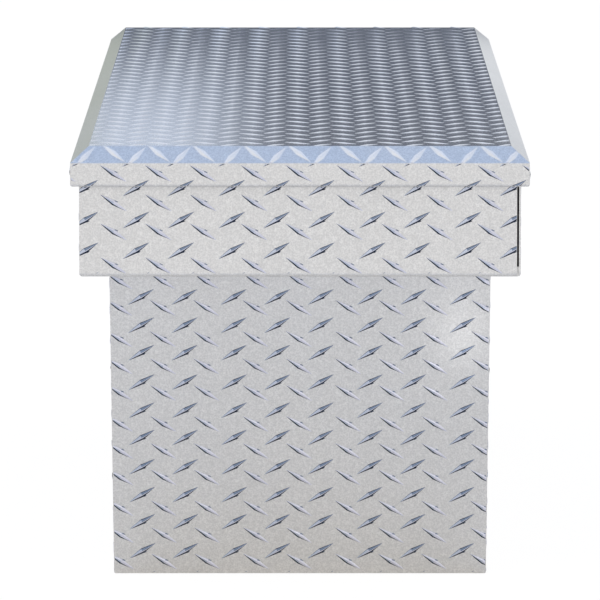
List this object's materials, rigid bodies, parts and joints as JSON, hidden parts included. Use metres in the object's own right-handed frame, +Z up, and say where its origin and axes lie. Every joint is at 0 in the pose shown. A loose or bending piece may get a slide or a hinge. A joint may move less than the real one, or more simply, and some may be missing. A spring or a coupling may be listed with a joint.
{
  "type": "truck tool box",
  "caption": "Crossover pickup bed tool box in tread plate, with a deep tapered bin, side wings, one bevelled hinged lid, gas struts and paddle latches.",
  "frame": {"origin": "centre of the bin's underside, at the height it stands on", "axes": "+Z up, +X out through the latch side, Y along the box from wing to wing"},
  "size_m": [0.508, 1.778, 0.505],
  "materials": {
    "tread_sheet": "mill finish tread plate",
    "smooth_sheet": "smooth mill finish",
    "seal_rubber": "matt",
    "hinge_steel": "brushed",
    "strut_black": "satin black",
    "rod_chrome": "polished",
    "zinc_steel": "zinc plated",
    "latch_steel": "brushed stainless",
    "lock_chrome": "polished"
  },
  "bodies": {
    "box": {"bin_floor": "tread_sheet", "bin_front_wall": "tread_sheet", "bin_rear_wall": "tread_sheet", "bin_end_wall_near": "tread_sheet", "bin_end_wall_far": "tread_sheet", "front_ledge": "tread_sheet", "rear_ledge": "tread_sheet", "wing_floor_near": "tread_sheet", "wing_floor_far": "tread_sheet", "front_panel": "tread_sheet", "rear_panel": "tread_sheet", "end_panel_near": "tread_sheet", "end_panel_far": "tread_sheet", "rim_front": "smooth_sheet", "rim_rear": "smooth_sheet", "rim_end_near": "smooth_sheet", "rim_end_far": "smooth_sheet", "rim_seal": "seal_rubber", "hinge_leaf_body": "hinge_steel", "hinge_pin": "hinge_steel", "hinge_rivets_body": "hinge_steel", "strut_mount_body_near": "zinc_steel", "strut_mount_body_far": "zinc_steel", "latch_housing_near": "latch_steel", "latch_housing_far": "latch_steel", "latch_pin_near": "zinc_steel", "latch_pin_far": "zinc_steel", "latch_screws": "latch_steel", "latch_shaft_bearings": "zinc_steel"},
    "lid": {"lid_cover": "tread_sheet", "lid_pan": "smooth_sheet", "lid_ribs": "smooth_sheet", "lid_strikers": "zinc_steel", "hinge_leaf_lid": "hinge_steel", "hinge_rivets_lid": "hinge_steel", "strut_mount_lid_near": "zinc_steel", "strut_mount_lid_far": "zinc_steel"},
    "strut_tube_near": {"strut_cylinder_near": "strut_black"},
    "strut_piston_near": {"strut_rod_near": "rod_chrome"},
    "paddle_near": {"latch_paddle_near": "latch_steel"},
    "lock_near": {"lock_plug_near": "lock_chrome"},
    "strut_tube_far": {"strut_cylinder_far": "strut_black"},
    "strut_piston_far": {"strut_rod_far": "rod_chrome"},
    "paddle_far": {"latch_paddle_far": "latch_steel"},
    "lock_far": {"lock_plug_far": "lock_chrome"},
    "shaft": {"latch_shaft": "zinc_steel", "latch_lever_near": "zinc_steel", "latch_lever_far": "zinc_steel", "latch_hook_near": "zinc_steel", "latch_hook_far": "zinc_steel"}
  },
  "joints": [
    {"name": "lid_hinge", "type": "hinge", "parent": "box", "child": "lid", "pos_m": [-0.2482, 0, 0.466], "axis": [0, -1, 0], "range_deg": [0, 75]},
    {"name": "strut_swing_near", "type": "hinge", "parent": "box", "child": "strut_tube_near", "pos_m": [-0.2, -0.838, 0.4], "axis": [0, -1, 0], "range_deg": [0, 69.63]},
    {"name": "strut_slide_near", "type": "slide", "parent": "strut_tube_near", "child": "strut_piston_near", "axis": [0.9572, 0, 0.2893], "range_m": [0, 0.0961]},
    {"name": "strut_swing_far", "type": "hinge", "parent": "box", "child": "strut_tube_far", "pos_m": [-0.2, 0.838, 0.4], "axis": [0, -1, 0], "range_deg": [0, 69.63]},
    {"name": "strut_slide_far", "type": "slide", "parent": "strut_tube_far", "child": "strut_piston_far", "axis": [0.9572, 0, 0.2893], "range_m": [0, 0.0961]},
    {"name": "paddle_near", "type": "hinge", "parent": "box", "child": "paddle_near", "pos_m": [0.24, -0.66, 0.433], "axis": [0, -1, 0], "range_deg": [0, 35], "stiffness_Nm_per_rad": 0.6, "springref_deg": -14.32},
    {"name": "paddle_far", "type": "hinge", "parent": "box", "child": "paddle_far", "pos_m": [0.24, 0.66, 0.433], "axis": [0, -1, 0], "range_deg": [0, 35]},
    {"name": "latch_shaft_turn", "type": "hinge", "parent": "box", "child": "shaft", "pos_m": [0.188, 0, 0.426], "axis": [0, 1, 0], "range_deg": [0, 45.5]},
    {"name": "lock_near", "type": "hinge", "parent": "paddle_near", "child": "lock_near", "pos_m": [0.2455, -0.66, 0.401], "axis": [1, 0, 0], "range_deg": [0, 90]},
    {"name": "lock_far", "type": "hinge", "parent": "paddle_far", "child": "lock_far", "pos_m": [0.2455, 0.66, 0.401], "axis": [1, 0, 0], "range_deg": [0, 90]}
  ],
  "couplings": [
    {"joint": "strut_swing_near", "follows": "lid_hinge", "ratio": 0.92827},
    {"joint": "strut_slide_near", "follows": "lid_hinge", "m_per_rad": 0.073337},
    {"joint": "strut_swing_far", "follows": "lid_hinge", "ratio": 0.92827},
    {"joint": "strut_slide_far", "follows": "lid_hinge", "m_per_rad": 0.073337},
    {"joint": "paddle_far", "follows": "paddle_near", "ratio": 1},
    {"joint": "latch_shaft_turn", "follows": "paddle_near", "ratio": 1.3}
  ]
}
